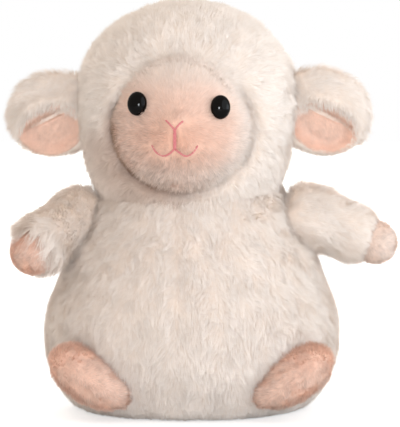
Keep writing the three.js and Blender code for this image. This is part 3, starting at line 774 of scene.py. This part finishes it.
def thread(name, line, radius, material, stitch, closed=False, up=(0, 0, 1.0), flat=1.0):
    """A sewn line: a tube that swells and thins in each stitch."""
    line = np.array(line, float)
    if closed:
        line = np.vstack([line, line[:1]])
    step = np.linalg.norm(np.diff(line, axis=0), axis=1)
    run = np.concatenate([[0], np.cumsum(step)])
    count = max(8, int(run[-1] / (stitch / 6)))
    at = np.stack([np.interp(np.linspace(0, run[-1], count), run, line[:, k]) for k in range(3)], 1)
    along = unit(np.gradient(at, axis=0))
    normal = np.broadcast_to(up, at.shape)
    across = unit(np.cross(along, normal))
    normal = np.cross(across, along)
    swell = 0.72 + 0.28 * np.abs(np.sin(np.linspace(0, run[-1], count) / stitch * math.pi))
    if not closed:
        swell[[0, -1]] = 0.2
    angle = round_angles(10)
    ring = across[:, None] * np.cos(angle)[:, None] + flat * normal[:, None] * np.sin(angle)[:, None]
    return make_object(name, material, Skin(at[:, None] + ring * radius * swell[:, None, None]))


# Head

def opening_width(level):
    """The face opening narrows towards the forehead. level runs from -1 at the chin to 1 at the forehead."""
    return OPENING_HALF[0] * (1 - 0.13 * smooth(-0.1, 1.0, level) + 0.02 * smooth(0, -0.8, level))


def opening_share(p):
    """Below 1 inside the face opening, for points in the head's frame."""
    level = (p[:, 2] - OPENING_MIDDLE[1]) / OPENING_HALF[1]
    return np.hypot((p[:, 0] - OPENING_MIDDLE[0]) / opening_width(level), level)


def beside_face(z):
    """1 at the cheeks and the chin, where the face stands out of a furrow, and 0 at the forehead."""
    return smooth(0.8, 0.2, (z - OPENING_MIDDLE[1]) / OPENING_HALF[1])


def lower_right(x, z):
    """1 at the face's lower edge on the sheep's right, where it stands out of the hood the most."""
    return smooth(20, -14, x) * smooth(8, -16, z)


def face_roll(share, x, z):
    """How far the face falls back towards its edge."""
    roll = smooth(0.97, 1.05, share) ** 2 + 3.2 * smooth(0.78, 1.06, share) ** 2 * beside_face(z)
    return roll + 3.5 * smooth(0.86, 1.06, share) ** 2 * lower_right(x, z)


def head_skin():
    at, inward = profile(HEAD_SHARES, 110, HEAD_WIDTH, HEAD_HEIGHT, HEAD_BELOW)
    at = at + inward * LONG_INSET
    at = at[at[:, 0] > 0.3]
    skin = soften(Skin(turned_grid(at, 190, HEAD_DEPTH / HEAD_WIDTH)), HEAD, 0.9, 26.0)
    p = skin.verts
    x, z = p[:, 0], p[:, 2]
    share = opening_share(p)
    front = smooth(-4, -18, p[:, 1])
    behind_face = 0.9 + SHORT_INSET - face_out(x, z) + face_roll(share, x, z)
    rim = RIM_RISE * bell(share, RIM_AT, RIM_HALF) * front
    wide = 1.14 + 0.22 * smooth(0, 28, z + FACE_DROP)
    p[:, 1] += (behind_face - p[:, 1]) * smooth(0, 1, (wide - share) / (wide - 0.98)) * front
    # The furrow round the face, and the hollow in the hood where the face stands out the most
    p[:, 1] += FURROW_DEPTH * bell(share, FURROW_AT, FURROW_HALF) * beside_face(z) * front
    hollow = RECESS_DEPTH * smooth(1.0, 1.1, share) * smooth(1.9, 1.2, share) * lower_right(x, z)
    p[:, 1] += hollow * front * smooth(-42, -28, z)
    skin.verts = p + skin.normals * rim[:, None]
    # The gusset seams that run up from the face to the crown
    for sign in SIDES.values():
        beside = x - sign * (GUSSET_X + 3 * smooth(10, 40, z))
        groove = GUSSET_DEPTH * bell(beside, 0, GUSSET_HALF) * smooth(18, 26, z)
        skin.verts = skin.verts - skin.normals * groove[:, None]
    return skin.settle()


def hood_comb(world):
    """The hood's pile lies away from the face, back over the crown and down at the back."""
    p = HEAD.into(world)
    away = unit((p + (0, 0, FACE_DROP)) * (1, 0, 1) / (OPENING_HALF[0], 1, OPENING_HALF[1]))
    front = smooth(8, -26, p[:, 1])[:, None]
    upper = smooth(0, 30, p[:, 2])[:, None]
    edge = (smooth(1.07, 1.0, opening_share(p)) * (1 - 0.8 * beside_face(p[:, 2])))[:, None]
    beside = (0.8 - edge) * away + 0.35 * BACK * (1 - edge) + DOWN * (0.5 - 0.45 * upper)
    over = BACK * upper * 1.2 + DOWN * (1 - 0.6 * upper)
    return HEAD.turn(beside * front + over * (1 - front))


def hood_painted_shade(world):
    """Painted shade: the pile is darker and browner in the furrow beside the face, and broadly on the hood
    below the face on the sheep's right.
    """
    p = HEAD.into(world)
    x, y, z = p.T
    share, lower = opening_share(p), lower_right(x, z)
    near = smooth(1.16 + 0.16 * lower, 1.03, share)
    wide = 0.5 * lower * smooth(-6, -22, z) * smooth(1.85, 1.25, share)
    return np.maximum((0.05 + (0.12 + 0.8 * lower) * beside_face(z)) * near, wide) * smooth(-4, -18, y)


def build_head():
    skin = head_skin()
    world = placed(skin, HEAD)

    def keep(q):
        p = HEAD.into(q)
        inside = (opening_share(p) < 0.95 + 0.03 * noise(p, 3.0)[:, 0]) & (p[:, 1] < -6)
        neck = (q[:, 2] < 99) | ((p[:, 2] < -44) & (np.hypot(p[:, 0], p[:, 1] * 1.1) < 36))
        ears = np.zeros(len(q), bool)
        for frame_ in EARS.values():
            e = frame_.into(q) / (EAR_HALF - 5)
            ears |= (e**2).sum(1) < 1
        return ~(inside | neck | ears)

    def by_face(points):
        p = HEAD.into(points)
        return smooth(1.2, 0.93, opening_share(p)) * smooth(-6, -20, p[:, 1])

    def long(points):
        beside = beside_face(HEAD.into(points)[:, 2])
        return LONG_PILE * (1 - (0.5 + 0.2 * beside) * by_face(points))

    def lean(points):
        return 0.68 - 0.26 * by_face(points)

    # The hood's skin and pile are darkened beside the face: painted shade.
    hood = make_object("hood_plush", CREAM, skin, HEAD, blush_and_painted_light=hood_painted_shade)
    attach(hood, "head")
    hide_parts("hood", "head_filling", "eye_washer_left", "eye_washer_right")
    make_piles("hood_pile", pile(world, keep, hood_comb, long, lean), hood, HEAD_PLACE[:2], hood_painted_shade)


def face_blush_and_painted_light(world):
    """The face fades to cream at the forehead, and the muzzle is the warmest. It is also creamier at the rim
    of the cheek on the sheep's left and upper side, painted light where the light falls, and paler at the
    chin, painted light on a part in shade.
    """
    p = HEAD.into(world)
    x, _, z = p.T
    forehead = smooth(-2, 15, z - 0.1 * np.abs(x))
    muzzle = hill(x, z, (1, -18), (19, 13))
    # Painted light: creamier at the rim on the lit side.
    rim = 0.4 * smooth(0.7, 1.05, opening_share(p)) * smooth(-12, 22, x + 0.5 * (z + FACE_DROP))
    # Painted light: the shaded chin is paler.
    chin = 0.35 * smooth(-25, -35, z)
    return np.clip(0.42 + 0.42 * forehead + rim * (1 - forehead) - 0.40 * muzzle + 0.6 * chin, 0, 1)


MOUTH = {
    "nose_left": [(3.9, -9.4), (2.2, -10.8), (0.4, -13.2), (0.25, -14.8)],
    "nose_right": [(-4.4, -9.0), (-2.6, -10.6), (-0.5, -13.0), (-0.25, -14.8)],
    "lip_seam_left": [(0.3, -14.6), (0.38, -18), (0.3, -22.4)],
    "lip_seam_right": [(-0.3, -14.6), (-0.36, -18), (-0.3, -22.4)],
    "mouth_left": [(0.1, -22.3), (2.0, -23.8), (4.4, -25.4), (6.5, -25.2), (8.6, -23.6), (10.6, -20.6)],
    "mouth_right": [(-0.2, -22.3), (-2.4, -24.4), (-4.9, -25.5), (-7.2, -24.9), (-9.2, -23.2),
                    (-10.7, -20.4)],
}


def near_lines(p):
    """Distance from points in the head's frame to the embroidered lines, seen from the front."""
    least = np.full(len(p), np.inf)
    for line in MOUTH.values():
        at, _ = spline(line, 24)
        for x, z in at:
            least = np.minimum(least, np.hypot(p[:, 0] - x, p[:, 2] - z))
    return least


def build_face():
    share = np.linspace(0.02, 1.05, 64)[:, None]
    angle = round_angles(200)
    x = share * opening_width(share * np.sin(angle)) * np.cos(angle) + OPENING_MIDDLE[0]
    z = share * OPENING_HALF[1] * np.sin(angle) + OPENING_MIDDLE[1]
    front = np.stack([x, -(face_out(x, z) - SHORT_INSET), z], -1)
    front[..., 1] += face_roll(share, x, z)
    behind = front[::-4][1:].copy()
    behind[..., 1] = np.clip(behind[..., 1] + 3.0, -30.0, -24.0)
    skin = soften(Skin(np.concatenate([front, behind])), HEAD, 0.2, 12.0)
    world = placed(skin, HEAD)

    def keep(q):
        p = HEAD.into(q)
        eyes = np.zeros(len(q), bool)
        for frame_ in EYES.values():
            e = frame_.into(q)
            eyes |= (e[:, 0] / (EYE_SIZE[0] / 2 - 0.2)) ** 2 + (e[:, 1] / (EYE_SIZE[1] / 2 - 0.2)) ** 2 < 1
        return (p[:, 1] < -26) & ~eyes & (near_lines(p) > 0.35)

    def comb(q):
        p = HEAD.into(q)
        return HEAD.turn((p + (0, 0, 11)) * (1, 0, 1) / 18)

    density = 5.5
    points, normals = facing(*world.scatter(density, keep), HEAD, 0.3)
    p = HEAD.into(points)
    x, _, z = p.T
    cheek = 0.5 * smooth(2, 18, x) * smooth(-34, -22, z)
    nose = 0.8 * hill(x, z, (6, -13), (11, 9))
    # The nap is smooth on the forehead, beside the nose and on one cheek, and tousled elsewhere.
    calm = np.clip(smooth(-14, 3, z) + cheek + nose, 0, 1)
    length = SHORT_PILE * (1.25 + 0.1 * calm) * (1 + 0.3 * (rng.random(len(points)) * 2 - 1))
    length = length * (0.35 + 0.65 * smooth(0.5, 2.4, near_lines(p)))
    for frame_ in EYES.values():
        e = frame_.into(points)
        reach = np.hypot(e[:, 0] / EYE_SIZE[0] * 2, e[:, 1] / EYE_SIZE[1] * 2)
        length = length * (0.8 + 0.2 * smooth(1.0, 1.5, reach))
    still = calm[:, None]
    nap = tufts(points, normals, comb, length, 0.32 + 0.33 * calm, 0.34, density, clump=0.45, clump_size=1.4,
                curl=1.1 - 0.9 * still, grain=0.32 - 0.26 * still, grain_size=1.3, tone_size=1.8, ragged=0.4)
    nap["tone"] = 0.5 + (nap["tone"] - 0.5) * (1 - 0.65 * calm)
    face = make_object("face_plush", PEACH, skin, HEAD, [nap], blush_and_painted_light=face_blush_and_painted_light)
    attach(face, "head")
    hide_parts("face_panel")
    for name, line in MOUTH.items():
        at, _ = spline(line, 30)
        out = face_out(at[:, 0], at[:, 1]) - 0.55
        points = HEAD.out(np.stack([at[:, 0], -out, at[:, 1]], 1))
        sewn = thread(name, points, THREAD_RADIUS, THREAD_MATERIAL, THREAD_STITCH,
                      up=HEAD.turn(AHEAD), flat=0.8)
        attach(sewn, "head")


def build_eye(side):
    """A glossy oval dome with a rounded rim and its short stem."""
    polar = np.linspace(0, math.pi / 2, 16)
    dome = np.stack([np.cos(polar), EYE_DOME * np.sin(polar) ** 0.9], 1)[:-1]
    rim = [(0.62, -EYE_SINK), (0.93, -EYE_SINK), (0.985, -EYE_SINK * 0.7), (1.0, -EYE_SINK * 0.3)]
    stem = [(0.05, -EYE_STEM), (0.3, -EYE_STEM), (0.35, 0.4 - EYE_STEM), (0.35, -EYE_SINK)]
    outline = np.array([*stem, *rim, *dome.tolist(), (0.03, EYE_DOME)])
    grid = turned_grid(outline, 64) * (EYE_SIZE[0] / 2, EYE_SIZE[1] / 2, 1)
    eye = make_object(f"eye_dome_{side}", EYE_MATERIAL, Skin(grid), EYES[side])
    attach(eye, "head")
    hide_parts(f"eye_{side}")


# Ears

def cup_depth(share):
    return CUP_DEPTH * smooth(1.08, 0.5, share)


def cup_share(p, sign):
    """Below 1 inside the ear's cup, seen from the front, in the ear's frame."""
    return np.hypot((p[:, 0] - sign * CUP_OUT) / CUP_HALF[0], (p[:, 2] + CUP_DROP) / CUP_HALF[2])


def build_ear(side, sign):
    frame_ = EARS[side]
    skin = soften(Skin(egg_grid(EAR_HALF - EAR_INSET, 80, 120, axis=1)), frame_, 0.7, 16.0)
    p = skin.verts
    share = cup_share(p, sign)
    front = smooth(1.0, -1.5, p[:, 1])
    lip = 1.2 * bell(share, 1.2, 0.16) * front * smooth(-8, 4, p[:, 2])
    p[:, 1] += cup_depth(share) * front - lip
    # The top folds over a little above the cup.
    p[:, 1] -= 1.2 * (bell(p[:, 2], 8.5, 3.0) * front * smooth(16, 10, np.abs(p[:, 0])))
    skin.settle()
    outer = make_object(f"ear_plush_{side}", CREAM, skin, frame_)
    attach(outer, f"ear_{side}")
    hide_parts(f"ear_outer_{side}")
    world = placed(skin, frame_)

    def keep(q):
        p = frame_.into(q)
        cup = (cup_share(p, sign) < 0.93) & (p[:, 1] < 3)
        return ~cup & ~inside_head(q, -3.5)

    def comb(q):
        p = frame_.into(q)
        along = np.array([sign, 0, -0.45])
        centre = p * (1, 0, 1) / 23
        over = smooth(1.45, 1.1, cup_share(p, sign)) * smooth(-4, 2, p[:, 2]) * smooth(1, -3, p[:, 1])
        over = over[:, None]
        return frame_.turn(along + centre * 0.7 * (1 - over) + over * 1.4 * DOWN)

    def long(points):
        p = frame_.into(points)
        near = smooth(1.3, 1.0, cup_share(p, sign)) * smooth(1, -3, p[:, 1]) * smooth(2, -6, p[:, 2])
        return 5.6 * (1 - 0.45 * smooth(-6, -16, p[:, 2])) * (1 - 0.4 * near)

    make_piles(f"ear_pile_{side}", pile(world, keep, comb, long, 0.68, 1.1), outer, frame_.place[:2])

    share = np.linspace(0.02, 1.02, 36)[:, None]
    angle = round_angles(90)
    x = share * CUP_HALF[0] * np.cos(angle) + sign * CUP_OUT
    z = share * CUP_HALF[2] * np.sin(angle) - CUP_DROP
    leaf = 1 - (x / (EAR_HALF[0] - EAR_INSET[0])) ** 2 - (z / (EAR_HALF[2] - EAR_INSET[2])) ** 2
    surface = (EAR_HALF[1] - EAR_INSET[1]) * np.sqrt(np.maximum(leaf, 0.0))
    bowl = -surface + cup_depth(share) - 0.5
    # The lining rolls over above a fold that is deepest beside the head.
    fold = z + CUP_DROP - 5.5 + 0.16 * (sign * x - CUP_OUT)
    inward = smooth(12, -12, sign * x - CUP_OUT)
    within = smooth(1.0, 0.85, share)
    bowl = bowl - 1.5 * bell(fold, 3.2, 2.0) * within
    bowl = bowl + (0.5 + FOLD_DEPTHS[side] * inward) * bell(fold, 0, 1.3) * within
    sheet = np.stack([x, bowl, z], -1)
    behind = sheet[::-3][1:].copy()
    behind[..., 1] += 1.0
    lining = Skin(np.concatenate([sheet, behind]))
    density = 7.0
    scattered = placed(lining, frame_).scatter(density, lambda q: ~inside_head(q, -3))
    points, normals = facing(*scattered, frame_, 0.1)
    nap = tufts(points, normals, comb, 1.9, 0.5, 0.28, density, clump=0.4, clump_size=1.5, curl=0.7,
                grain=0.18, grain_size=1.4, tone_size=2.0)

    # Towards peach at the cup's edge, by a share that differs by side: painted light on the shaded ear.
    def blush_and_painted_light(q):
        p = frame_.into(q)
        return LINING_BLUSH_AND_PAINTED_LIGHT[side] * smooth(0.55, 1.0, cup_share(p, sign))

    inner = make_object(f"ear_lining_plush_{side}", LINING, lining, frame_, [nap], blush_and_painted_light=blush_and_painted_light)
    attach(inner, f"ear_{side}")
    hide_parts(f"ear_lining_{side}")


# Arms

def build_arm(side, sign):
    frame_ = ARMS[side]
    length, radius = SLEEVE_LENGTH, SLEEVE_RADIUS - 3.6
    outline, _ = spline([
        (1.0, -13), (7.5, -12), (11.0, -8), (12.0, -2), (12.0, 6), (radius, 13), (radius + 0.4, 20),
        (radius + 0.2, 25), (radius - 0.6, length - 1.2), (radius - 2.2, length - 0.2), (8.6, length - 1.5),
        (8.0, 22), (1.0, 20),
    ], 90)
    skin = soften(Skin(turned_grid(outline, 84)), frame_, 0.8, 15.0)
    # A fold in the armpit, and a top that is full on one side and low on the other, where the sleeve begins
    radial = frame_.turn(unit(skin.verts * (1, 1, 0)))[:, 2]
    fold = ARMPIT_FOLD * smooth(0.35, -0.45, radial) + SLEEVE_TOPS[side] * smooth(0.1, 0.9, radial)
    skin.verts = skin.verts + unit(skin.verts * (1, 1, 0)) * (fold * smooth(17, 3, skin.verts[:, 2]))[:, None]
    skin.settle()
    world = placed(skin, frame_)

    def keep(q):
        p = frame_.into(q)
        inner = (np.hypot(p[:, 0], p[:, 1]) < 9.2) & (p[:, 2] > 15)
        return ~inner & ~inside_body(q, -1.5)

    def comb(q):
        return frame_.turn(frame_.into(q) * (1, 1, 0) / 60 - DOWN)

    def across(p):
        """The way out from the sleeve's middle line."""
        return unit(frame_.turn(p * (1, 1, 0)))

    def below(q):
        """How far a point is on the hem or on the sleeve's under side, where the fibres hang."""
        p = frame_.into(q)
        z = p[:, 2]
        return np.maximum(smooth(20, 28, z), smooth(0.2, -0.8, across(p)[:, 2]) * smooth(6, 16, z))

    def over(q):
        """How far a point is on the upper and inner half of the hem, where the fibres reach over the hand."""
        p = frame_.into(q)
        way = across(p)
        return smooth(19, 27, p[:, 2]) * smooth(-0.5, 0.4, 0.7 * way[:, 2] - 0.7 * sign * way[:, 0])

    def hanging(q):
        return comb(q) + (below(q) - 0.6 * over(q))[:, None] * 0.7 * DOWN

    def long(q):
        """The pile is short at the left hem, and reaches over the right hand."""
        hem = smooth(21, 28, frame_.into(q)[:, 2])
        share = 0.95 + 0.3 * below(q) + (-0.55 * hem if side == "left" else 1.2 * over(q))
        return LONG_PILE * share

    layers = pile(world, keep, hanging, long, lambda q: 0.66 + 0.06 * below(q) + 0.08 * over(q), 1.05)
    sleeve = make_object(f"sleeve_plush_{side}", CREAM, skin, frame_, layers)
    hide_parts(f"sleeve_{side}", f"arm_filling_{side}")
    start, end = frame_.out(np.array([0, 0, -6.0])) * MM, frame_.out(np.array([0, 0, 9.0])) * MM
    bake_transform(sleeve)

    grid = egg_grid(np.full(3, HAND_RADIUS - 1.2), 60, 80)
    hand = soften(Skin(grid + (0, 0, HAND_REACH)), frame_, 0.5, 10.0)
    density = 7.0
    points, normals = placed(hand, frame_).scatter(density, lambda q: frame_.into(q)[:, 2] > length - 6)
    nap = tufts(points, normals, comb, SHORT_PILE, 0.5, 0.3, density, clump=0.45, clump_size=1.6, curl=0.7,
                grain=0.2, grain_size=1.6, tone_size=2.0)
    # The hand's paleness differs by side: painted light and shade.
    paw = make_object(f"hand_plush_{side}", PEACH, hand, frame_, [nap],
                      blush_and_painted_light=lambda q: np.full(len(q), HAND_BLUSH_AND_PAINTED_LIGHT[side]))
    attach(paw, f"arm_{side}")
    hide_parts(f"hand_{side}")


# Feet

def build_foot(side, sign):
    frame_ = FEET[side]
    skin = Skin(egg_grid(FOOT_HALF - 1.3, 90, 110, axis=0))
    full = 1 + FOOT_TAPER * sign * skin.verts[:, 0] / (2 * FOOT_HALF[0])
    skin.verts[:, 1:] *= full[:, None]
    skin.settle()
    soften(skin, frame_, 0.5, 13.0)
    # The seam between the upper and the sole draws the plush in.
    seam = SOLE_DEPTH - FOOT_HALF[2]
    v = skin.verts
    draw = 0.25 * bell(v[:, 2], seam, 1.3)
    # The instep creases where the foot bends up off the body.
    bend = v[:, 2] - 6.5 + sign * 0.12 * v[:, 0]
    draw = draw + 0.6 * bell(bend, 0, 1.8) * smooth(16, 4, sign * v[:, 0])
    skin.verts = v - skin.normals * draw[:, None]
    skin.settle()
    world = placed(skin, frame_)

    def keep(q):
        return ~inside_body(q, -1)

    def comb(q):
        p = frame_.into(q)
        return frame_.turn(np.stack([np.full(len(p), -0.8 * sign), p[:, 1] / 40, p[:, 2] / 30], 1))

    density = 6.0
    points, normals = world.scatter(density, keep)
    gap = np.abs(frame_.into(points)[:, 2] - seam)
    size = SHORT_PILE * 1.15 * (0.55 + 0.45 * smooth(0.3, 2.5, gap))
    size = size * (1 + 0.3 * (rng.random(len(points)) * 2 - 1))
    nap = tufts(points, normals, comb, size, 0.5, 0.32, density, clump=0.5, clump_size=1.7, curl=0.8,
                grain=0.24, grain_size=1.7, tone_size=2.2, floor=0.25)
    shoe = make_object(f"foot_plush_{side}", PEACH, skin, frame_, [nap],
                       blush_and_painted_light=lambda q: np.full(len(q), FOOT_BLUSH))
    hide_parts(f"foot_upper_{side}", f"foot_sole_{side}", f"foot_filling_{side}")
    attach(shoe, f"foot_{side}")


# Floor, lamps and camera

def build_stage():
    """A white floor that fades into the background away from the toy."""
    mesh = bpy.data.meshes.new("floor")
    corners = [(x * FLOOR_HALF, y * FLOOR_HALF, 0) for x, y in ((-1, -1), (1, -1), (1, 1), (-1, 1))]
    mesh.from_pydata(corners, [], [(0, 1, 2, 3)])
    material, tree, shader = new_material("floor_white")
    nodes, links = tree.nodes, tree.links
    shader.inputs["Base Color"].default_value = (FLOOR_GREY, FLOOR_GREY, FLOOR_GREY, 1)
    shader.inputs["Roughness"].default_value = 0.9
    shader.inputs["Specular IOR Level"].default_value = 0.0
    place, reach = nodes.new("ShaderNodeTexCoord"), nodes.new("ShaderNodeVectorMath")
    reach.operation = "LENGTH"
    links.new(place.outputs["Object"], reach.inputs[0])
    glow = nodes.new("ShaderNodeEmission")
    links.new(ranged(tree, reach.outputs["Value"], (0.55, 1.0), (0.12, 0.32)), glow.inputs["Strength"])
    shown, chosen = nodes.new("ShaderNodeAddShader"), nodes.new("ShaderNodeMixShader")
    links.new(shader.outputs[0], shown.inputs[0])
    links.new(glow.outputs[0], shown.inputs[1])
    links.new(nodes.new("ShaderNodeLightPath").outputs["Is Camera Ray"], chosen.inputs[0])
    links.new(shader.outputs[0], chosen.inputs[1])
    links.new(shown.outputs[0], chosen.inputs[2])
    links.new(chosen.outputs[0], nodes["Material Output"].inputs["Surface"])
    mesh.materials.append(material)
    add_object("floor", mesh)


def aim(obj, place, ahead):
    obj.location = place
    obj.rotation_euler = ahead.to_track_quat("-Z", "Y").to_euler()


def build_lights():
    world = bpy.data.worlds.new("studio")
    bpy.context.scene.world = world
    world.use_nodes = True
    tree = world.node_tree
    background = tree.nodes["Background"]
    seen = tree.nodes.new("ShaderNodeLightPath").outputs["Is Camera Ray"]
    tint = tree.nodes.new("ShaderNodeMix")
    tint.data_type = "RGBA"
    tint.inputs[6].default_value, tint.inputs[7].default_value = WORLD_TINT, (1, 1, 1, 1)
    tree.links.new(seen, tint.inputs[0])
    tree.links.new(tint.outputs[2], background.inputs["Color"])
    tree.links.new(ranged(tree, seen, (WORLD_LEVEL, 1.0)), background.inputs["Strength"])
    for name, (place, size, power, colour) in LAMPS.items():
        lamp = bpy.data.lights.new(name, "AREA")
        lamp.shape, lamp.size, lamp.energy, lamp.color = "DISK", size, power, colour
        aim(add_object(name, lamp), place, Vector(LAMP_TARGET) - Vector(place))


def build_camera():
    camera = bpy.data.cameras.new("camera")
    camera.sensor_width, camera.lens = SENSOR, SENSOR * CAMERA_DISTANCE / VIEW_HEIGHT
    camera.clip_start, camera.clip_end = 0.05, 20
    obj = add_object("camera", camera)
    back = Vector((0, -math.cos(CAMERA_ELEVATION), math.sin(CAMERA_ELEVATION)))
    aim(obj, Vector(CAMERA_AIM) + back * CAMERA_DISTANCE, -back)
    bpy.context.scene.camera = obj


build_stage()
build_lights()
build_camera()
build_body()
build_base()
build_head()
build_face()
for side_, sign_ in SIDES.items():
    build_eye(side_)
    build_ear(side_, sign_)
    build_arm(side_, sign_)
    build_foot(side_, sign_)

bpy.context.scene.view_settings.view_transform = "Standard"
